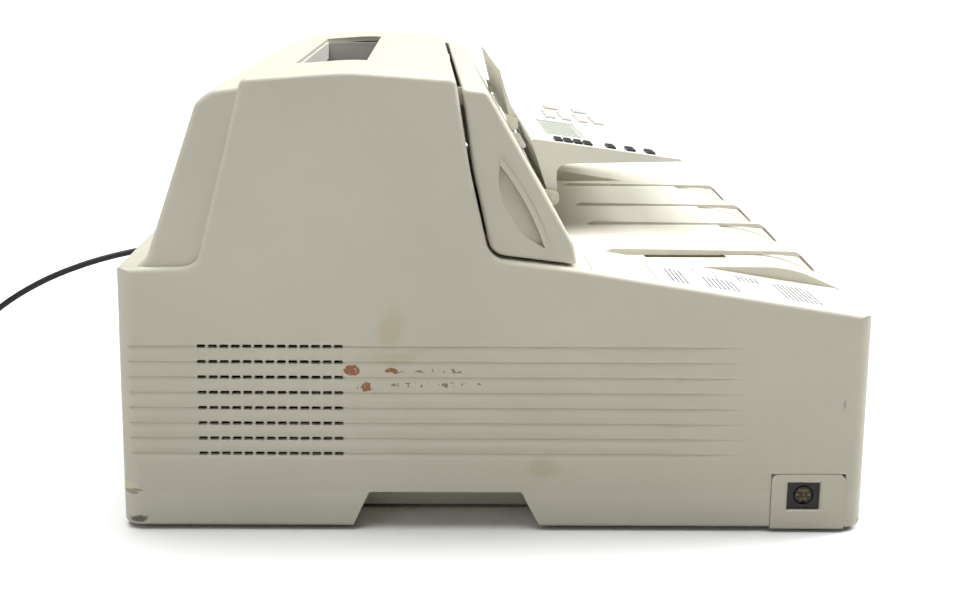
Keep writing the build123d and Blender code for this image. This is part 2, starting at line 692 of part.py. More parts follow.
def make_side_frame(x):
    frame = block((x, x + FRAME_THICKNESS), (-60, 112), (FOOT_HEIGHT + WALL, 108))
    frame = frame + block((x, x + FRAME_THICKNESS), (-36, 112), (107, 121.5))
    frame = frame + block((x, x + FRAME_THICKNESS), (24, 108), (121, 204))
    frame = frame - block((x - 1, x + 4), (-45, 20), (20, 62))
    for y, z in (DRUM, TRANSFER, HEAT, PRESSURE, EXIT, PICKUP, PLATE_AXIS):
        frame = frame - rod(SHAFT + RUNNING_CLEARANCE, (x - 1, x + FRAME_THICKNESS + 1), y, z)
    return frame


frames = [make_side_frame(x) for x in (FRAME_LEFT - FRAME_THICKNESS, FRAME_RIGHT)]
pieces["side_frames"] = Compound(children=[solid for frame in frames for solid in frame.solids()])

frame_span = FRAME_RIGHT - FRAME_LEFT + 2 * FRAME_THICKNESS + 4
pieces["drum"] = roller(DRUM_RADIUS, ENGINE_LENGTH, SHAFT, frame_span, *DRUM)
pieces["transfer_roller"] = roller(TRANSFER_RADIUS, ENGINE_LENGTH, SHAFT, frame_span, *TRANSFER)
pieces["heat_roller"] = roller(FUSER_RADIUS, ENGINE_LENGTH, SHAFT, frame_span, *HEAT)
pieces["pressure_roller"] = roller(FUSER_RADIUS, ENGINE_LENGTH, SHAFT, frame_span, *PRESSURE)
pieces["exit_roller"] = roller(EXIT_RADIUS, ENGINE_LENGTH - 16, SHAFT, frame_span, *EXIT)
pieces["pickup_roller"] = roller(PICKUP_RADIUS, 60.0, SHAFT, frame_span, *PICKUP)

# drive gears: the wheel on the drum shaft and the pinion on the motor
GEAR_MODULE = 1.0
WHEEL_TEETH = 40
PINION_TEETH = 12
GEAR_X = (157.5, 163.5)


def gear(teeth, x, y, z, turn):
    """A spur gear with straight-flanked teeth that have room on both sides."""
    pitch_radius = GEAR_MODULE * teeth / 2
    body = rod(pitch_radius - 1.25 * GEAR_MODULE, x, y, z)
    tip = pitch_radius + 0.9 * GEAR_MODULE
    root = pitch_radius - 1.6 * GEAR_MODULE
    for index in range(teeth):
        angle = turn + 360.0 * index / teeth
        tooth = [(root, -0.95, 0), (tip, -0.32, 0), (tip, 0.32, 0), (root, 0.95, 0)]
        bar = side_bar(tooth, x)
        body = body + Pos(0, y, z) * Rot(angle, 0, 0) * bar
    return body


MOTOR_AXIS = (DRUM[0] + GEAR_MODULE * (WHEEL_TEETH + PINION_TEETH) / 2, DRUM[1])
drum_shaft = rod(SHAFT, (FRAME_RIGHT, GEAR_X[1]), *DRUM)
pieces["drum"] = pieces["drum"] + gear(WHEEL_TEETH, GEAR_X, *DRUM, 0) + drum_shaft
pinion = gear(PINION_TEETH, GEAR_X, *MOTOR_AXIS, 180 + 180 / PINION_TEETH)
pieces["motor_pinion"] = pinion + rod(1.5, (GEAR_X[1] - 1, 170.0), *MOTOR_AXIS)
motor_y, motor_z = MOTOR_AXIS
motor_plate = block((166.4, 168.0), (motor_y - 24, motor_y + 24), (motor_z - 18, motor_z + 18))
motor = motor_plate + rod(17.0, (168.0, 180.0), *MOTOR_AXIS)
pieces["main_motor"] = motor - rod(1.5 + RUNNING_CLEARANCE, (160.0, 172.0), *MOTOR_AXIS)

# toner cartridge over the drum
cartridge_side = [
    (8.0, 122.0, 3),
    (8.0, 146.0, 6),
    (52.0, 150.0, 8),
    (56.0, 126.0, 5),
    (44.0, 118.6, 0),
]
toner = side_bar(cartridge_side, (-116, 116))
toner = toner + side_bar([(8.5, 134.0, 0), (-2.0, 138.0, 2), (-2.0, 141.0, 1), (8.5, 139.0, 0)], (-32, 32))
pieces["toner_cartridge"] = toner - rod(DRUM_RADIUS + 1.0, (-130, 130), *DRUM)

fuser = block((-126, 126), (-17.5, 5.5), (99, 121)) - rod(FUSER_RADIUS + 0.8, (-120, 120), *HEAT)
fuser = fuser - block((-120, 120), (-30, 10), (90, 102)) - rod(SHAFT + 0.4, (-130, 130), *HEAT)
pieces["fuser_frame"] = fuser

MIRROR = (0.0, 42.0)
scanner = block((-102, 102), (24, 60), (158, 188)) - block((-99, 99), (27, 57), (161, 185))
scanner = scanner - block((-90, 90), (22, 28), (164, 168))
pieces["scanner_unit"] = scanner - post(2.0 + RUNNING_CLEARANCE, *MIRROR, (156, 163))
mirror = Pos(*MIRROR, 170) * extrude(RegularPolygon(14, 6), amount=4)
pieces["polygon_mirror"] = mirror + post(2.0, *MIRROR, (159, 171))

plate_side = [(103.0, 199.0, 0), (105.0, 199.0, 0), (99.0, 128.0, 0), (97.0, 128.0, 0)]
paper_plate = side_bar(plate_side, (-106, 106))
paper_plate = paper_plate + rod(SHAFT, (-frame_span / 2, frame_span / 2), *PLATE_AXIS)
pieces["paper_plate"] = paper_plate

# ---------------------------------------------------------------- electronics
def make_board(x, y, z, chips):
    board = block(x, y, (z, z + 1.6))
    for chip_x, chip_y, across, down, tall in chips:
        board = board + block((chip_x, chip_x + across), (chip_y, chip_y + down), (z + 1.6, z + 1.6 + tall))
    return board


main_chips = [
    (-90, -140, 28, 28, 3),
    (-40, -130, 20, 14, 3),
    (10, -140, 24, 12, 4),
    (60, -110, 30, 30, 3),
    (-120, -90, 40, 8, 9),
]
power_parts = [
    (-120, 125, 34, 26, 20),
    (-70, 130, 24, 24, 30),
    (-30, 125, 14, 36, 22),
    (10, 130, 36, 30, 18),
]
main_board = make_board((-140, 120), (-160, -70), 24.0, main_chips)
power_board = make_board((-140, 60), (118, 168), 12.0, power_parts)
pieces["circuit_boards"] = Compound(children=[*main_board.solids(), *power_board.solids()])

# cooling fan behind the left vents
FAN = (104.0, 63.0)
FAN_X = (LEFT + WALL + 0.4, LEFT + WALL + 15.4)
FAN_HALF = 30.0
BLADE_COUNT = 7
spider_x = (FAN_X[1] - 2, FAN_X[1])
fan_case = block(FAN_X, (FAN[0] - FAN_HALF, FAN[0] + FAN_HALF), (FAN[1] - FAN_HALF, FAN[1] + FAN_HALF))
fan_case = fan_case - rod(27.5, (FAN_X[0] - 1, FAN_X[1] + 1), *FAN)
fan_case = fan_case + rod(11.0, spider_x, *FAN)
for angle in (45, 165, 285):
    fan_case = fan_case + Pos(0, *FAN) * Rot(angle, 0, 0) * block(spider_x, (0, 29), (-2, 2))
pieces["fan_housing"] = fan_case
rotor = rod(10.0, (FAN_X[0] + 1, FAN_X[1] - 3), *FAN)
for index in range(BLADE_COUNT):
    blade = Pos(FAN_X[0] + 6.5, 17, 0) * Rot(0, 35, 0) * Box(1.2, 17, 9)
    rotor = rotor + Pos(0, *FAN) * Rot(360 / BLADE_COUNT * index, 0, 0) * blade
pieces["fan_rotor"] = rotor

# ---------------------------------------------------------------- telephone line cord
plug = block((CORD_X - 4.8, CORD_X + 4.8), (REAR - 11.5, REAR + 1.5), (CORD_Z - 3.3, CORD_Z + 3.3))
plug = plug + block((CORD_X - 4.2, CORD_X + 4.2), (REAR + 1.5, REAR + 8.0), (CORD_Z - 2.8, CORD_Z + 2.8))
pieces["cord_plug"] = plug

ring_face = Plane.XZ * Pos(COIL_RADIUS, COIL_BUNDLE / 2) * RectangleRounded(COIL_BUNDLE, COIL_BUNDLE, 5)
pieces["cord_coil"] = Pos(*COIL_CENTRE, 0) * revolve(ring_face, Axis.Z)

cord_route = [
    (CORD_X, REAR + 8.0, CORD_Z),
    (CORD_X, 203.0, CORD_Z),
    (CORD_X, 226.0, 79.0),
    (CORD_X + 0.5, 252.0, 72.0),
    (CORD_X + 1.5, 280.0, 61.0),
    (CORD_X + 3.0, 306.0, 46.0),
    (CORD_X + 4.0, 328.0, 28.0),
    (CORD_X + 3.0, 346.0, 11.0),
    (CORD_X - 1.0, 360.0, 2.6),
    (CORD_X - 9.0, 374.0, 2.2),
    (COIL_CENTRE[0] - 20.0, 389.0, 2.2),
]


def corner_radius(before, corner, after):
    """The largest arc that a corner of the route leaves room for."""
    back = Vector(*corner) - Vector(*before)
    ahead = Vector(*after) - Vector(*corner)
    half_turn = math.radians(back.get_angle(ahead)) / 2
    return 0.45 * min(back.length, ahead.length) / math.tan(half_turn)


radii = [corner_radius(*cord_route[i - 1 : i + 2]) for i in range(1, len(cord_route) - 1)]
path = FilletPolyline(*cord_route, radius=radii)
start = Plane(origin=path @ 0, z_dir=path % 0)
tube = sweep(start * Circle(CORD_DIAMETER / 2), path=path)
cord = tube - pieces["cord_coil"]
# the short end that comes out of the coil, and the plug on it
TAIL_X = COIL_CENTRE[0] + 24.0
TAIL_LENGTH = 22.0
TAIL_END = COIL_CENTRE[1] + 28.0
tail = Rot(90, 0, 0) * Cylinder(CORD_DIAMETER / 2, TAIL_LENGTH)
tail = Pos(TAIL_X, TAIL_END - TAIL_LENGTH / 2, 2.2) * tail - pieces["cord_coil"]
pieces["line_cord"] = Compound(children=[*cord.solids(), *tail.solids()])
pieces["cord_end_plug"] = block((TAIL_X - 4.8, TAIL_X + 4.8), (TAIL_END, TAIL_END + 19), (0.0, 6.6))

for name, piece in pieces.items():
    export_step(piece, "parts/" + name + ".step")
print(len(pieces), "pieces")
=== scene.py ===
import bpy
import math
from mathutils import Euler, Matrix, Vector


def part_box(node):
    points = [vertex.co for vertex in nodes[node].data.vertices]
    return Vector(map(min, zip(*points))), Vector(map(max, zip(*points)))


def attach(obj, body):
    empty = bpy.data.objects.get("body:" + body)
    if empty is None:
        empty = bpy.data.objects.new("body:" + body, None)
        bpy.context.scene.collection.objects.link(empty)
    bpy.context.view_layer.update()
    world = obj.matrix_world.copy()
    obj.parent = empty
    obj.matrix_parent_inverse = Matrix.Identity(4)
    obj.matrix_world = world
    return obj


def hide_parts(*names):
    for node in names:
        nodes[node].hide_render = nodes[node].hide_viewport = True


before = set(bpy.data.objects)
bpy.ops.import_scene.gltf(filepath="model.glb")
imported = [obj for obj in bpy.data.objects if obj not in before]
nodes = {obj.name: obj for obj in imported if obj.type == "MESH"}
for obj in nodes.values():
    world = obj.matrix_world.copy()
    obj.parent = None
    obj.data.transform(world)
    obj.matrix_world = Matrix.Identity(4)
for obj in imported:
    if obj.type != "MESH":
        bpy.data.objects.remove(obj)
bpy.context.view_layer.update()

# ---------------------------------------------------------------- camera
# The camera stands about 0.6 m off the left side wall, a little above the crown, and looks
# slightly down at the wall, square to it.
camera_place = Vector((-0.760, 0.0337, 0.2633))
camera_pitch = math.radians(9.84)
camera_roll = math.radians(0.2)
camera_data = bpy.data.cameras.new("camera")
camera_data.sensor_width = 36.0
camera_data.lens = 48.44
camera_data.shift_y = -0.12
camera_data.shift_x = 0.0593
camera_data.clip_start = 0.01
camera = bpy.data.objects.new("camera", camera_data)
bpy.context.scene.collection.objects.link(camera)
level_look = Matrix(((0, 0, -1), (-1, 0, 0), (0, 1, 0))).to_4x4()
camera.matrix_world = (
    Matrix.Translation(camera_place)
    @ level_look
    @ Matrix.Rotation(-camera_pitch, 4, "X")
    @ Matrix.Rotation(camera_roll, 4, "Z")
)
bpy.context.scene.camera = camera

# ---------------------------------------------------------------- telephone line cord
# A round four-millimetre line cord. It leaves the jack on the back, sags to the table and is
# wound there into a small storage coil, which ends in a second plug of the same kind.
plug_low, plug_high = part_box("cord_plug")
cord_diameter = 0.004
cord_x = (plug_low.x + plug_high.x) / 2
cord_z = (plug_low.z + plug_high.z) / 2
exit_point = (cord_x, plug_high.y, cord_z)
route = [
    exit_point,
    (cord_x, 0.2030, cord_z),
    (cord_x, 0.2260, 0.0790),
    (cord_x + 0.0005, 0.2520, 0.0720),
    (cord_x + 0.0015, 0.2800, 0.0610),
    (cord_x + 0.0030, 0.3060, 0.0460),
    (cord_x + 0.0040, 0.3280, 0.0280),
    (cord_x + 0.0030, 0.3460, 0.0110),
    (cord_x - 0.0010, 0.3600, 0.0026),
    (cord_x - 0.0090, 0.3740, 0.0022),
]
coil_low, coil_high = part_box("cord_coil")
coil_middle = (coil_low + coil_high) / 2
strand_gap = 0.00405
columns = 4
turn_points = 16
turn_count = 14
last_turn_points = 5
inner_radius = coil_middle.x - coil_low.x - 0.0022 - (columns - 1) * strand_gap


def strand_place(turn):
    """Column and layer of a turn: the layers are wound inwards and outwards by turns."""
    layer, step = divmod(turn, columns)
    column = columns - 1 - step if layer % 2 == 0 else step
    return inner_radius + column * strand_gap, 0.0022 + layer * strand_gap


for point in range(turn_points * (turn_count - 1) + last_turn_points):
    turn, part = divmod(point, turn_points)
    radius_now, height_now = strand_place(turn)
    radius_next, height_next = strand_place(min(turn + 1, turn_count - 1))
    share = max(0.0, (part / turn_points - 0.6) / 0.4)
    radius = radius_now + share * (radius_next - radius_now)
    height = height_now + share * (height_next - height_now)
    angle = math.pi - 2 * math.pi * part / turn_points
    along = (coil_middle.x + radius * math.cos(angle), coil_middle.y + radius * math.sin(angle))
    route.append((*along, height))
end_low, end_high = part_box("cord_end_plug")
end_x = (end_low.x + end_high.x) / 2
leave_angle = math.radians(64)
leave_radius, leave_height = strand_place(turn_count - 1)
leave_x = coil_middle.x + leave_radius * math.cos(leave_angle)
leave_y = coil_middle.y + leave_radius * math.sin(leave_angle)
bend_radius = (end_x - leave_x) / (1 + math.cos(leave_angle))
bend_x = leave_x + bend_radius * math.cos(leave_angle)
bend_y = leave_y + bend_radius * math.sin(leave_angle)
tail_heights = ((0.0, leave_height), (0.2, leave_height), (0.4, leave_height), (0.6, 0.0138), (0.8, 0.0092))
for part, height in tail_heights:
    angle = leave_angle + math.pi + part * (math.pi - leave_angle)
    route.append((bend_x + bend_radius * math.cos(angle), bend_y + bend_radius * math.sin(angle), height))
route.append((end_x, end_low.y, 0.0033))

cord_curve = bpy.data.curves.new("line_cord_jacket", "CURVE")
cord_curve.dimensions = "3D"
cord_spline = cord_curve.splines.new("NURBS")
cord_spline.points.add(len(route) - 1)
for index, place in enumerate(route):
    cord_spline.points[index].co = (*place, 1.0)
    cord_spline.points[index].radius = cord_diameter / 2
cord_spline.order_u = 3
cord_spline.use_endpoint_u = True
cord_spline.resolution_u = 4
cord_curve.bevel_depth = 1.0
cord_curve.bevel_resolution = 4
cord_curve.use_fill_caps = True
line_cord = bpy.data.objects.new("line_cord_jacket", cord_curve)
bpy.context.scene.collection.objects.link(line_cord)
cord_paint = bpy.data.materials.new("cord_jacket")
cord_paint.use_nodes = True
cord_nodes = cord_paint.node_tree.nodes
cord_shader = cord_nodes["Principled BSDF"]
cord_shader.inputs["Roughness"].default_value = 0.42
cord_place = cord_nodes.new("ShaderNodeTexCoord")
cord_grain = cord_nodes.new("ShaderNodeTexNoise")
cord_grain.inputs["Scale"].default_value = 240.0
cord_tone = cord_nodes.new("ShaderNodeValToRGB")
cord_tone.color_ramp.elements[0].color = (0.012, 0.012, 0.013, 1)
cord_tone.color_ramp.elements[1].color = (0.034, 0.033, 0.035, 1)
cord_paint.node_tree.links.new(cord_place.outputs["Object"], cord_grain.inputs["Vector"])
cord_paint.node_tree.links.new(cord_grain.outputs["Fac"], cord_tone.inputs["Fac"])
cord_paint.node_tree.links.new(cord_tone.outputs["Color"], cord_shader.inputs["Base Color"])
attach(line_cord, "machine")
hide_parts("line_cord", "cord_coil")
line_cord.data.materials.append(cord_paint)

# ---------------------------------------------------------------- floor and light
# A pale paper floor under a wide soft light overhead. A second light from the front misses
# the left wall, a weak one stands rear left, and the floor bounces less than it shows.
bpy.ops.object.select_all(action="DESELECT")
bpy.ops.mesh.primitive_plane_add(size=60.0, location=(0, 0, 0))
floor = bpy.context.object
floor.name = "floor"
floor_paint = bpy.data.materials.new("floor_paper")
floor_paint.use_nodes = True
floor_nodes = floor_paint.node_tree.nodes
floor_links = floor_paint.node_tree.links
floor_shader = floor_nodes["Principled BSDF"]
floor_shader.inputs["Roughness"].default_value = 0.7
floor_shader.inputs["Specular IOR Level"].default_value = 0.2
floor_seen = floor_nodes.new("ShaderNodeLightPath")
floor_tone = floor_nodes.new("ShaderNodeValToRGB")
floor_tone.color_ramp.elements[0].color = (0.50, 0.49, 0.47, 1)
floor_tone.color_ramp.elements[1].color = (0.94, 0.94, 0.94, 1)
floor_links.new(floor_seen.outputs["Is Camera Ray"], floor_tone.inputs["Fac"])
floor_links.new(floor_tone.outputs["Color"], floor_shader.inputs["Base Color"])
floor.data.materials.append(floor_paint)

world = bpy.data.worlds.new("studio")
bpy.context.scene.world = world
world.use_nodes = True
world_nodes = world.node_tree.nodes
world_links = world.node_tree.links
room_light = world_nodes["Background"]
room_light.inputs["Color"].default_value = (1.0, 1.0, 0.985, 1)
room_light.inputs["Strength"].default_value = 0.07
backdrop = world_nodes.new("ShaderNodeBackground")
backdrop.inputs["Color"].default_value = (1.0, 1.0, 1.0, 1)
backdrop.inputs["Strength"].default_value = 1.05
seen = world_nodes.new("ShaderNodeLightPath")
choose = world_nodes.new("ShaderNodeMixShader")
world_links.new(seen.outputs["Is Camera Ray"], choose.inputs["Fac"])
world_links.new(room_light.outputs["Background"], choose.inputs[1])
world_links.new(backdrop.outputs["Background"], choose.inputs[2])
world_links.new(choose.outputs["Shader"], world_nodes["World Output"].inputs["Surface"])

overhead_data = bpy.data.lights.new("overhead_light", "SUN")
overhead_data.energy = 3.55
overhead_data.angle = math.radians(62)
overhead = bpy.data.objects.new("overhead_light", overhead_data)
bpy.context.scene.collection.objects.link(overhead)
overhead.rotation_euler = (math.radians(-6), math.radians(7), 0)

front_data = bpy.data.lights.new("front_light", "SUN")
front_data.energy = 3.0
front_data.angle = math.radians(30)
front_light = bpy.data.objects.new("front_light", front_data)
bpy.context.scene.collection.objects.link(front_light)
front_light.rotation_euler = Vector((-0.30, 0.80, -0.80)).to_track_quat("-Z", "Y").to_euler()

fill_data = bpy.data.lights.new("rear_left_softbox", "AREA")
fill_data.shape = "SQUARE"
fill_data.size = 0.9
fill_data.energy = 3.0
fill = bpy.data.objects.new("rear_left_softbox", fill_data)
bpy.context.scene.collection.objects.link(fill)
fill.location = (-1.3, 1.1, 1.0)
fill.rotation_euler = (Vector((-0.18, 0.03, 0.12)) - fill.location).to_track_quat("-Z", "Y").to_euler()
bpy.context.scene.view_settings.view_transform = "Standard"

# ---------------------------------------------------------------- ivory casing and covers
# The outer shells are moulded ivory plastic with a fine spark texture, slightly yellowed and
# mottled. The left wall carries old marks: yellow stains, rust-coloured spots and dark specks
# beside the vents, a chip at the rear bottom corner, and a faint scratch.
grain = bpy.data.node_groups.new("moulded_grain", "ShaderNodeTree")
grain.interface.new_socket("Mottle", in_out="OUTPUT", socket_type="NodeSocketFloat")
grain.interface.new_socket("Normal", in_out="OUTPUT", socket_type="NodeSocketVector")
grain_out = grain.nodes.new("NodeGroupOutput")
grain_place = grain.nodes.new("ShaderNodeTexCoord")
spark = grain.nodes.new("ShaderNodeTexNoise")
spark.inputs["Scale"].default_value = 1500.0
spark.inputs["Detail"].default_value = 3.0
spark_bump = grain.nodes.new("ShaderNodeBump")
spark_bump.inputs["Strength"].default_value = 0.10
spark_bump.inputs["Distance"].default_value = 0.0002
cloud = grain.nodes.new("ShaderNodeTexNoise")
cloud.inputs["Scale"].default_value = 9.0
cloud.inputs["Detail"].default_value = 5.0
cloud.inputs["Roughness"].default_value = 0.6
grain.links.new(grain_place.outputs["Object"], spark.inputs["Vector"])
grain.links.new(grain_place.outputs["Object"], cloud.inputs["Vector"])
grain.links.new(spark.outputs["Fac"], spark_bump.inputs["Height"])
grain.links.new(cloud.outputs["Fac"], grain_out.inputs["Mottle"])
grain.links.new(spark_bump.outputs["Normal"], grain_out.inputs["Normal"])


def moulded_plastic(name, dark, light, roughness):
    """Moulded plastic whose colour drifts between two tones. Returns the material."""
    paint = bpy.data.materials.new(name)
    paint.use_nodes = True
    tree = paint.node_tree
    shader = tree.nodes["Principled BSDF"]
    shader.inputs["Roughness"].default_value = roughness
    texture = tree.nodes.new("ShaderNodeGroup")
    texture.node_tree = grain
    tone = tree.nodes.new("ShaderNodeValToRGB")
    tone.color_ramp.elements[0].position = 0.3
    tone.color_ramp.elements[0].color = (*dark, 1)
    tone.color_ramp.elements[1].position = 0.7
    tone.color_ramp.elements[1].color = (*light, 1)
    tree.links.new(texture.outputs["Mottle"], tone.inputs["Fac"])
    tree.links.new(texture.outputs["Normal"], shader.inputs["Normal"])
    tree.links.new(tone.outputs["Color"], shader.inputs["Base Color"])
    return paint


def paint_nodes(paint, *names):
    for name in names:
        nodes[name].data.materials.clear()
        nodes[name].data.materials.append(paint)


def region(tree, centre, half, soft=0.5, wobble=0.0, wobble_scale=60.0):
    """A soft ellipsoid mask round a place on the object, one inside and zero outside."""
    place = tree.nodes.new("ShaderNodeTexCoord").outputs["Object"]
    if wobble:
        noise = tree.nodes.new("ShaderNodeTexNoise")
        noise.inputs["Scale"].default_value = wobble_scale
        noise.inputs["Detail"].default_value = 4.0
        tree.links.new(place, noise.inputs["Vector"])
        shift = tree.nodes.new("ShaderNodeVectorMath")
        shift.operation = "MULTIPLY_ADD"
        shift.inputs[1].default_value = (wobble, wobble, wobble)
        tree.links.new(noise.outputs["Color"], shift.inputs[0])
        tree.links.new(place, shift.inputs[2])
        place = shift.outputs["Vector"]
    middle = [value + wobble / 2 for value in centre]
    fit = tree.nodes.new("ShaderNodeMapping")
    fit.inputs["Scale"].default_value = [1 / size for size in half]
    fit.inputs["Location"].default_value = [-value / size for value, size in zip(middle, half)]
    tree.links.new(place, fit.inputs["Vector"])
    far = tree.nodes.new("ShaderNodeVectorMath")
    far.operation = "LENGTH"
    tree.links.new(fit.outputs["Vector"], far.inputs[0])
    mask = tree.nodes.new("ShaderNodeMapRange")
    mask.interpolation_type = "SMOOTHSTEP"
    mask.inputs["From Min"].default_value = 1.0
    mask.inputs["From Max"].default_value = soft
    tree.links.new(far.outputs["Value"], mask.inputs["Value"])
    return mask.outputs["Result"]


def specks(tree, mask, scale, threshold):
    """Breaks a mask up into specks."""
    place = tree.nodes.new("ShaderNodeTexCoord")
    noise = tree.nodes.new("ShaderNodeTexNoise")
    noise.inputs["Scale"].default_value = scale
    noise.inputs["Detail"].default_value = 3.0
    tree.links.new(place.outputs["Object"], noise.inputs["Vector"])
    cut = tree.nodes.new("ShaderNodeMath")
    cut.operation = "GREATER_THAN"
    cut.inputs[1].default_value = threshold
    tree.links.new(noise.outputs["Fac"], cut.inputs[0])
    both = tree.nodes.new("ShaderNodeMath")
    both.operation = "MULTIPLY"
    tree.links.new(cut.outputs["Value"], both.inputs[0])
    tree.links.new(mask, both.inputs[1])
    return both.outputs["Value"]


def lay_over(tree, mask, colour, strength):
    """Lays a colour over the base colour of the material's shader where the mask says."""
    shader = tree.nodes["Principled BSDF"]
    under = shader.inputs["Base Color"].links[0].from_socket
    share = tree.nodes.new("ShaderNodeMath")
    share.operation = "MULTIPLY"
    share.inputs[1].default_value = strength
    tree.links.new(mask, share.inputs[0])
    mix = tree.nodes.new("ShaderNodeMix")
    mix.data_type = "RGBA"
    mix.inputs["B"].default_value = (*colour, 1)
    tree.links.new(share.outputs["Value"], mix.inputs["Factor"])
    tree.links.new(under, mix.inputs["A"])
    tree.links.new(mix.outputs["Result"], shader.inputs["Base Color"])


ivory_dark = (0.670, 0.650, 0.540)
ivory_light = (0.740, 0.720, 0.615)
casing_paint = moulded_plastic("casing_ivory", ivory_dark, ivory_light, 0.46)
tree = casing_paint.node_tree
wall_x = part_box("casing")[0].x
stain = region(tree, (wall_x, 0.049, 0.100), (0.010, 0.008, 0.015), 0.35, 0.014, 40)
lay_over(tree, stain, (0.60, 0.50, 0.27), 0.42)
stain = region(tree, (wall_x, 0.046, 0.085), (0.010, 0.022, 0.004), 0.3, 0.012, 50)
lay_over(tree, stain, (0.60, 0.50, 0.27), 0.35)
stain = region(tree, (wall_x, -0.023, 0.031), (0.010, 0.011, 0.006), 0.4, 0.010, 60)
lay_over(tree, stain, (0.58, 0.50, 0.32), 0.50)
rust = (0.36, 0.105, 0.012)
rust_spots = (
    (0.0665, 0.0785, 0.0042, 0.0030),
    (0.0470, 0.0785, 0.0050, 0.0013),
    (0.0605, 0.0705, 0.0045, 0.0026),
)
for y, z, half_y, half_z in rust_spots:
    mark = region(tree, (wall_x, y, z), (0.010, half_y, half_z), 0.75, 0.003, 300)
    lay_over(tree, specks(tree, mark, 420, 0.44), rust, 0.9)
for y, z, half_y in ((0.0255, 0.0785, 0.014), (0.0250, 0.0718, 0.029)):
    trail = region(tree, (wall_x, y, z), (0.010, half_y, 0.0013), 0.8, 0.001, 200)
    lay_over(tree, specks(tree, trail, 330, 0.57), (0.16, 0.13, 0.07), 0.75)
chip = region(tree, (wall_x, 0.172, 0.0215), (0.012, 0.0052, 0.0020), 0.8, 0.003, 300)
lay_over(tree, chip, (0.80, 0.74, 0.55), 0.9)
chip_edge = region(tree, (wall_x, 0.169, 0.0195), (0.012, 0.0045, 0.0009), 0.7, 0.002, 300)
lay_over(tree, chip_edge, (0.20, 0.17, 0.12), 0.6)
scratch = region(tree, (wall_x, -0.163, 0.063), (0.010, 0.0011, 0.0038), 0.2, 0.002, 300)
lay_over(tree, scratch, (0.30, 0.29, 0.26), 0.5)
paint_nodes(casing_paint, "casing")

cover_paint = moulded_plastic("cover_ivory", ivory_dark, ivory_light, 0.46)
paint_nodes(cover_paint, "rear_cover", "front_cover", "socket_plate")
tray_paint = moulded_plastic("tray_ivory", (0.71, 0.69, 0.61), (0.77, 0.76, 0.68), 0.42)
tree = tray_paint.node_tree
# Painted shade: a dark brown patch at the curled front end of each of the four tray ribs stands in for the
# shade on their side walls.
for x in (-0.103, -0.0295, 0.0295, 0.103):
    lay_over(tree, region(tree, (x, -0.168, 0.1125), (0.004, 0.009, 0.006), 0.7), (0.24, 0.19, 0.16), 0.75)
paint_nodes(tray_paint, "output_tray", "strip_plate")

# ---------------------------------------------------------------- base tray and feet
# The lower shell is the same plastic, scuffed dark at its rear corner. Four black rubber
# feet are pressed into it.
base_paint = moulded_plastic("base_ivory", (0.700, 0.680, 0.570), (0.770, 0.750, 0.650), 0.48)
tree = base_paint.node_tree
scuff = region(tree, (wall_x, 0.168, 0.0055), (0.012, 0.0058, 0.0022), 0.5, 0.004, 200)
lay_over(tree, scuff, (0.07, 0.05, 0.04), 0.8)
chip_foot = region(tree, (wall_x, 0.171, 0.0185), (0.012, 0.0050, 0.0012), 0.6, 0.002, 300)
lay_over(tree, chip_foot, (0.30, 0.26, 0.17), 0.7)
lay_over(tree, region(tree, (wall_x, -0.1735, 0.0045), (0.012, 0.0009, 0.0014), 0.6), (0.20, 0.18, 0.16), 0.6)
paint_nodes(base_paint, "base_tray")
foot_paint = moulded_plastic("foot_black_rubber", (0.020, 0.020, 0.021), (0.045, 0.045, 0.046), 0.8)
paint_nodes(foot_paint, "rubber_feet")

# ---------------------------------------------------------------- control panel and keys
# The wedge panel is ivory, the narrow keys along its left edge dark grey, the dial keys pale
# and stop and start tinted. The dial keys' digits lie just under the key tops, out of sight.
panel_paint = moulded_plastic("panel_ivory", (0.755, 0.745, 0.68), (0.80, 0.79, 0.73), 0.45)
paint_nodes(panel_paint, "control_panel")
dark_key_paint = moulded_plastic("key_dark", (0.030, 0.030, 0.034), (0.052, 0.050, 0.056), 0.42)
pale_key_paint = moulded_plastic("key_pale", (0.72, 0.71, 0.66), (0.78, 0.77, 0.72), 0.42)
stop_key_paint = moulded_plastic("key_stop_tint", (0.76, 0.62, 0.55), (0.82, 0.68, 0.60), 0.42)
start_key_paint = moulded_plastic("key_start_tint", (0.60, 0.74, 0.62), (0.66, 0.80, 0.68), 0.42)
dial_names = ("1", "2", "3", "4", "5", "6", "7", "8", "9", "star", "0", "hash")
paint_nodes(pale_key_paint, *["key_" + name for name in dial_names])
paint_nodes(dark_key_paint, *["key_one_touch_%d" % (index + 1) for index in range(4)])
paint_nodes(dark_key_paint, "key_menu", "key_enter", "key_mode")
paint_nodes(stop_key_paint, "key_stop")
paint_nodes(start_key_paint, "key_start")

print_paint = moulded_plastic("print_grey", (0.10, 0.10, 0.11), (0.14, 0.14, 0.15), 0.5)
panel_angle = math.atan2(11.6, 84.8)
for name in dial_names:
    key_low, key_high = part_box("key_" + name)
    bpy.ops.object.select_all(action="DESELECT")
    bpy.ops.object.text_add(location=(0, 0, 0))
    digit = bpy.context.object
    digit.data.body = {"star": "*", "hash": "#"}.get(name, name)
    digit.data.size = 0.0046
    digit.data.align_x = "CENTER"
    digit.data.align_y = "CENTER"
    digit.data.resolution_u = 3
    bpy.ops.object.convert(target="MESH")
    digit = bpy.context.object
    digit.name = "digit_" + name
    middle = (key_low + key_high) / 2
    top = middle + Vector((0, -math.sin(panel_angle), math.cos(panel_angle))) * 0.00118
    digit.data.transform(Matrix.Translation(top) @ Matrix.Rotation(panel_angle, 4, "X"))
    digit.data.materials.append(print_paint)
    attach(digit, "key_" + name)

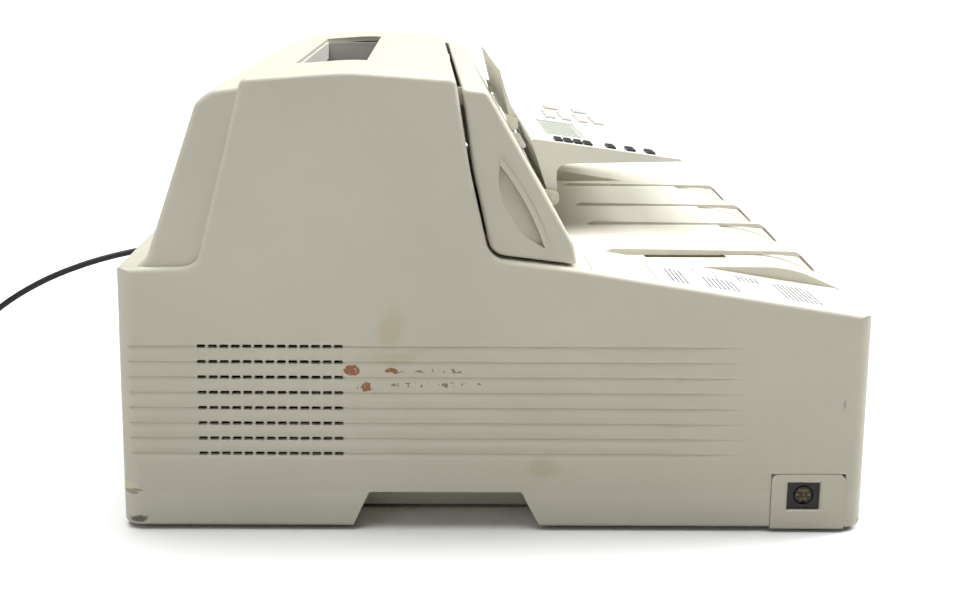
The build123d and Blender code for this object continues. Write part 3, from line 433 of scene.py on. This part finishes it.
# ---------------------------------------------------------------- display
# A clear window, partly see-through, over a plain grey-green display that shows nothing.
lens_paint = bpy.data.materials.new("display_lens_clear")
lens_paint.use_nodes = True
tree = lens_paint.node_tree
shader = tree.nodes["Principled BSDF"]
shader.inputs["Roughness"].default_value = 0.08
shader.inputs["IOR"].default_value = 1.49
shader.inputs["Alpha"].default_value = 0.25
lens_place = tree.nodes.new("ShaderNodeTexCoord")
lens_cloud = tree.nodes.new("ShaderNodeTexNoise")
lens_cloud.inputs["Scale"].default_value = 30.0
lens_tone = tree.nodes.new("ShaderNodeValToRGB")
lens_tone.color_ramp.elements[0].color = (0.90, 0.93, 0.90, 1)
lens_tone.color_ramp.elements[1].color = (0.95, 0.97, 0.95, 1)
tree.links.new(lens_place.outputs["Object"], lens_cloud.inputs["Vector"])
tree.links.new(lens_cloud.outputs["Fac"], lens_tone.inputs["Fac"])
tree.links.new(lens_tone.outputs["Color"], shader.inputs["Base Color"])
paint_nodes(lens_paint, "display_window")

screen_paint = moulded_plastic("display_screen", (0.52, 0.56, 0.46), (0.56, 0.60, 0.50), 0.3)
window_low, window_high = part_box("display_window")
window_middle = (window_low + window_high) / 2
bpy.ops.object.select_all(action="DESELECT")
bpy.ops.mesh.primitive_cube_add(size=1.0)
screen = bpy.context.object
screen.name = "display_screen"
screen.data.transform(
    Matrix.Translation(window_middle)
    @ Matrix.Rotation(panel_angle, 4, "X")
    @ Matrix.Translation((0, 0, -0.00075))
    @ Matrix.Diagonal((0.0695, 0.0195, 0.0005, 1))
)
screen.data.materials.append(screen_paint)
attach(screen, "panel")

# ---------------------------------------------------------------- document flap, guides and sensor
# The flap and the sliding guides are satin ivory. The contact sensor is a black bar in the
# panel, and the feed roller is ground dark rubber on a steel shaft.
flap_paint = moulded_plastic("flap_satin", (0.72, 0.71, 0.65), (0.77, 0.76, 0.70), 0.35)
paint_nodes(flap_paint, "document_flap", "document_guide_left", "document_guide_right")
# The same black also paints the screws' cross slots further down, as painted shade.
black_and_slot_shade_paint = moulded_plastic("black_moulding_and_painted_slot_shade", (0.012, 0.012, 0.013), (0.030, 0.030, 0.032), 0.38)
paint_nodes(black_and_slot_shade_paint, "side_socket", "mains_inlet", "phone_jacks", "image_sensor")
paint_nodes(black_and_slot_shade_paint, "fan_housing", "fan_rotor")

# ---------------------------------------------------------------- print engine
# Rollers of dark ground rubber, a glossy coated drum, steel shafts and frames, and moulded
# housings, all in running bearings of the two side frames.
steel_paint = moulded_plastic("sheet_steel_zinc", (0.50, 0.51, 0.53), (0.62, 0.63, 0.64), 0.34)
steel_paint.node_tree.nodes["Principled BSDF"].inputs["Metallic"].default_value = 1.0
paint_nodes(steel_paint, "side_frames", "paper_plate")
motor_paint = moulded_plastic("motor_can_steel", (0.36, 0.37, 0.39), (0.46, 0.47, 0.49), 0.28)
motor_paint.node_tree.nodes["Principled BSDF"].inputs["Metallic"].default_value = 1.0
paint_nodes(motor_paint, "main_motor")
brass_paint = moulded_plastic("pinion_brass", (0.62, 0.46, 0.20), (0.74, 0.58, 0.28), 0.25)
brass_paint.node_tree.nodes["Principled BSDF"].inputs["Metallic"].default_value = 1.0
paint_nodes(brass_paint, "motor_pinion")
mirror_paint = moulded_plastic("polygon_polished", (0.86, 0.86, 0.88), (0.92, 0.92, 0.94), 0.04)
mirror_paint.node_tree.nodes["Principled BSDF"].inputs["Metallic"].default_value = 1.0
paint_nodes(mirror_paint, "polygon_mirror")
engine_paint = moulded_plastic("engine_moulding", (0.030, 0.030, 0.033), (0.055, 0.055, 0.058), 0.45)
paint_nodes(engine_paint, "toner_cartridge", "fuser_frame", "scanner_unit")


def roller_paint(name, dark, light, roughness, core_radius, axis_y, axis_z):
    """A roller's covering, with bare steel where the shaft is thinner than the covering."""
    paint = moulded_plastic(name, dark, light, roughness)
    tree = paint.node_tree
    covering = region(tree, (0, axis_y, axis_z), (1.0, core_radius, core_radius), 0.98)
    lay_over(tree, covering, (0.55, 0.56, 0.58), 1.0)
    return paint


for name, dark, light, roughness, y, z in (
    ("transfer_roller", (0.05, 0.05, 0.05), (0.10, 0.10, 0.10), 0.8, 0.028, 0.0856),
    ("pressure_roller", (0.30, 0.09, 0.06), (0.38, 0.13, 0.09), 0.6, -0.006, 0.0866),
    ("exit_roller", (0.05, 0.05, 0.05), (0.10, 0.10, 0.10), 0.8, -0.024, 0.116),
    ("pickup_roller", (0.07, 0.07, 0.07), (0.13, 0.13, 0.13), 0.8, 0.080, 0.112),
    ("feed_roller", (0.07, 0.07, 0.07), (0.13, 0.13, 0.13), 0.8, -0.0192, 0.1552),
    ("heat_roller", (0.16, 0.09, 0.06), (0.20, 0.12, 0.08), 0.25, -0.006, 0.107),
    ("drum", (0.04, 0.17, 0.20), (0.06, 0.22, 0.26), 0.12, 0.028, 0.104),
):
    paint_nodes(roller_paint(name + "_covering", dark, light, roughness, 0.0034, y, z), name)

# ---------------------------------------------------------------- circuit boards
# Two boards with green solder mask. Everything that stands above the board's face is a
# black moulded component.
board_paint = moulded_plastic("board_solder_mask", (0.015, 0.11, 0.045), (0.03, 0.17, 0.07), 0.3)
tree = board_paint.node_tree
trace_place = tree.nodes.new("ShaderNodeTexCoord")
traces = tree.nodes.new("ShaderNodeTexBrick")
traces.inputs["Scale"].default_value = 90.0
traces.inputs["Color1"].default_value = (0, 0, 0, 1)
traces.inputs["Color2"].default_value = (0.35, 0.35, 0.35, 1)
traces.inputs["Mortar"].default_value = (1, 1, 1, 1)
traces.inputs["Mortar Size"].default_value = 0.05
tree.links.new(trace_place.outputs["Object"], traces.inputs["Vector"])
lay_over(tree, traces.outputs["Color"], (0.07, 0.27, 0.12), 0.6)
split = tree.nodes.new("ShaderNodeSeparateXYZ")
tree.links.new(trace_place.outputs["Object"], split.inputs["Vector"])
for face_height, at_front in ((0.0257, True), (0.0137, False)):
    above = tree.nodes.new("ShaderNodeMath")
    above.operation = "GREATER_THAN"
    above.inputs[1].default_value = face_height
    tree.links.new(split.outputs["Z"], above.inputs[0])
    side = tree.nodes.new("ShaderNodeMath")
    side.operation = "LESS_THAN" if at_front else "GREATER_THAN"
    side.inputs[1].default_value = 0.0
    tree.links.new(split.outputs["Y"], side.inputs[0])
    both = tree.nodes.new("ShaderNodeMath")
    both.operation = "MULTIPLY"
    tree.links.new(above.outputs["Value"], both.inputs[0])
    tree.links.new(side.outputs["Value"], both.inputs[1])
    lay_over(tree, both.outputs["Value"], (0.02, 0.02, 0.022), 1.0)
paint_nodes(board_paint, "circuit_boards")

# ---------------------------------------------------------------- connectors
# Four gilt contact wires in the free telephone jack, and a gilt ring round each of the eight
# holes of the round socket, all pressed into the moulded bodies.
gilt_paint = moulded_plastic("gilt_contact", (0.72, 0.52, 0.18), (0.86, 0.66, 0.28), 0.25)
gilt_paint.node_tree.nodes["Principled BSDF"].inputs["Metallic"].default_value = 1.0


def solid_bar(name, middle, size, paint, body, turn=(0, 0, 0)):
    """A small box with softened edges, placed in its mesh, riding on a body."""
    bpy.ops.object.select_all(action="DESELECT")
    bpy.ops.mesh.primitive_cube_add(size=1.0)
    bar = bpy.context.object
    bar.name = name
    bar.data.transform(Matrix.Diagonal((*size, 1)))
    bpy.ops.object.mode_set(mode="EDIT")
    bpy.ops.mesh.select_all(action="SELECT")
    bpy.ops.mesh.bevel(offset=min(size) * 0.18, segments=2, affect="EDGES")
    bpy.ops.object.mode_set(mode="OBJECT")
    bar.data.transform(Matrix.Translation(middle) @ Euler(turn).to_matrix().to_4x4())
    bar.data.materials.append(paint)
    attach(bar, body)
    return bar


jack_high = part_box("phone_jacks")[1]
free_jack_x = cord_x + 0.016
for wire in range(4):
    solid_bar(
        "jack_contact_%d" % (wire + 1),
        (free_jack_x + 0.0011 * (wire - 1.5), jack_high.y - 0.0070, cord_z + 0.0012),
        (0.0004, 0.0100, 0.0004), gilt_paint, "machine", (math.radians(-20), 0, 0),
    )
socket_low, socket_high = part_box("side_socket")
socket_y = (socket_low.y + socket_high.y) / 2 - 0.0002
socket_z = (socket_low.z + socket_high.z) / 2
hole = 0
socket_rows = (
    (0.0022, (-0.0016, 0.0, 0.0016)),
    (0.0002, (-0.0026, 0.0, 0.0026)),
    (-0.0018, (-0.0010, 0.0010)),
)
for up, across in socket_rows:
    for shift in across:
        hole += 1
        bpy.ops.object.select_all(action="DESELECT")
        bpy.ops.mesh.primitive_torus_add(
            major_radius=0.00052, minor_radius=0.00012, major_segments=16, minor_segments=6,
        )
        ring = bpy.context.object
        ring.name = "socket_contact_%d" % hole
        ring.data.transform(
            Matrix.Translation((socket_low.x - 0.00002, socket_y + shift, socket_z + up))
            @ Matrix.Rotation(math.radians(90), 4, "Y")
        )
        bpy.ops.object.shade_smooth()
        ring.data.materials.append(gilt_paint)
        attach(ring, "machine")

# ---------------------------------------------------------------- plugs on the cord
# Both plugs are dark clear plastic. The one in the jack shows its sprung latch, and the one
# on the coil shows its four gilt blades.
plug_paint = moulded_plastic("plug_clear_dark", (0.05, 0.05, 0.055), (0.07, 0.07, 0.075), 0.15)
plug_paint.node_tree.nodes["Principled BSDF"].inputs["Transmission Weight"].default_value = 0.35
paint_nodes(plug_paint, "cord_plug", "cord_end_plug")
solid_bar(
    "plug_latch", (cord_x, plug_high.y - 0.0035, plug_low.z - 0.0010), (0.0030, 0.0110, 0.0009),
    plug_paint, "machine", (math.radians(7), 0, 0),
)
for wire in range(4):
    solid_bar(
        "end_plug_blade_%d" % (wire + 1),
        (end_x + 0.0011 * (wire - 1.5), end_high.y - 0.0028, end_high.z - 0.0004),
        (0.0004, 0.0045, 0.0010), gilt_paint, "machine",
    )

# ---------------------------------------------------------------- label on the left strip
# A thin pale sheet with plain bars for its printed lines and a small pictogram of a page,
# stuck on the sloping strip in front of the blank plate.
label_paint = moulded_plastic("label_paper", (0.80, 0.80, 0.77), (0.84, 0.84, 0.81), 0.5)
label_print = moulded_plastic("label_ink", (0.10, 0.10, 0.10), (0.16, 0.16, 0.16), 0.6)
strip_rear = Vector((-0.1602, -0.0372, 0.1269))
strip_front = Vector((-0.1602, -0.1755, 0.1048))
strip_angle = math.atan2(strip_rear.z - strip_front.z, strip_rear.y - strip_front.y)


def on_strip(x, y, lift):
    """A frame on the strip: x across the machine, y in depth, lift square to the strip."""
    share = (strip_rear.y - y) / (strip_rear.y - strip_front.y)
    z = strip_rear.z + share * (strip_front.z - strip_rear.z)
    place = Matrix.Translation((x, y, z)) @ Matrix.Rotation(strip_angle, 4, "X")
    return place @ Matrix.Translation((0, 0, lift))


def flat_sheet(x, y, size, lift):
    bpy.ops.object.select_all(action="DESELECT")
    bpy.ops.mesh.primitive_cube_add(size=1.0)
    sheet = bpy.context.object
    sheet.data.transform(on_strip(x, y, lift) @ Matrix.Diagonal((size[0], size[1], 0.00008, 1)))
    return sheet


sheet = flat_sheet(-0.1590, -0.1205, (0.0400, 0.0860), 0.00006)
sheet.name = "strip_label"
sheet.data.materials.append(label_paint)
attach(sheet, "machine")
bars = []
text_blocks = (
    (-0.083, 4, -0.177, -0.150),
    (-0.1005, 7, -0.177, -0.156),
    (-0.120, 5, -0.152, -0.141),
    (-0.137, 8, -0.177, -0.146),
)
for block_y, rows, left, right in text_blocks:
    for row in range(rows):
        y = block_y - 0.0022 * row
        start = left
        step = 0
        while start < right:
            word = 0.0016 + 0.0011 * ((row * 5 + step * 3) % 4)
            end = min(start + word, right)
            bars.append(flat_sheet((start + end) / 2, y, (end - start, 0.0009), 0.00013))
            start = end + 0.0008
            step += 1
pictogram = (
    (-0.1475, -0.0985, 0.0130, 0.0004), (-0.1475, -0.1085, 0.0130, 0.0004),
    (-0.1540, -0.1035, 0.0004, 0.0100), (-0.1410, -0.1035, 0.0004, 0.0100),
    (-0.1475, -0.1030, 0.0060, 0.0004), (-0.1475, -0.1045, 0.0060, 0.0004),
)
for x, y, across, down in pictogram:
    bars.append(flat_sheet(x, y, (across, down), 0.00013))
bpy.ops.object.select_all(action="DESELECT")
for bar in bars:
    bar.select_set(True)
bpy.context.view_layer.objects.active = bars[0]
bpy.ops.object.join()
printed = bpy.context.object
printed.name = "strip_label_print"
printed.data.materials.append(label_print)
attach(printed, "machine")

# ---------------------------------------------------------------- paper guides in the feeder mouth
# Two ivory cheeks and a back wall line the sheet feeder's mouth just under the crown. They
# are moulded plates that hang from the crown's skin, clear of the hinged paper plate.
guide_paint = moulded_plastic("feeder_guide_ivory", (0.78, 0.77, 0.71), (0.83, 0.82, 0.76), 0.45)
for side_name, guide_x in (("left", -0.1104), ("right", 0.1104)):
    solid_bar(
        "feeder_cheek_" + side_name, (guide_x, 0.080, 0.1975), (0.0010, 0.0350, 0.0310),
        guide_paint, "machine",
    )
solid_bar(
    "feeder_back_wall", (0, 0.0975, 0.2075), (0.2190, 0.0008, 0.0110),
    guide_paint, "machine",
)

# ---------------------------------------------------------------- screws
# Five cross-headed steel screws in the casing's back wall. Each head carries a cross of thin black bars:
# painted shade standing in for the shade in the recessed cross slot.
screw_paint = moulded_plastic("screw_steel", (0.42, 0.43, 0.44), (0.54, 0.55, 0.56), 0.3)
screw_paint.node_tree.nodes["Principled BSDF"].inputs["Metallic"].default_value = 1.0
screw_places = ((-0.160, 0.110), (0.160, 0.110), (-0.160, 0.030), (0.160, 0.030), (0.0, 0.110))
for index, (x, z) in enumerate(screw_places):
    bpy.ops.object.select_all(action="DESELECT")
    bpy.ops.mesh.primitive_cylinder_add(vertices=24, radius=0.0030, depth=0.0012)
    screw = bpy.context.object
    screw.name = "rear_screw_%d" % (index + 1)
    bpy.ops.object.mode_set(mode="EDIT")
    bpy.ops.mesh.select_all(action="SELECT")
    bpy.ops.mesh.bevel(offset=0.0003, segments=2, affect="EDGES")
    bpy.ops.object.mode_set(mode="OBJECT")
    screw.data.transform(Matrix.Translation((x, 0.1751, z)) @ Matrix.Rotation(math.radians(90), 4, "X"))
    screw.data.materials.append(screw_paint)
    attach(screw, "machine")
    # Painted shade: the two black bars of the cross lie on the head where the recessed slot's shade would be.
    for arm, size in enumerate(((0.0036, 0.0003, 0.0007), (0.0007, 0.0003, 0.0036))):
        solid_bar(
            "rear_screw_%d_slot_%d" % (index + 1, arm + 1), (x, 0.17571, z), size,
            black_and_slot_shade_paint, "machine",
        )
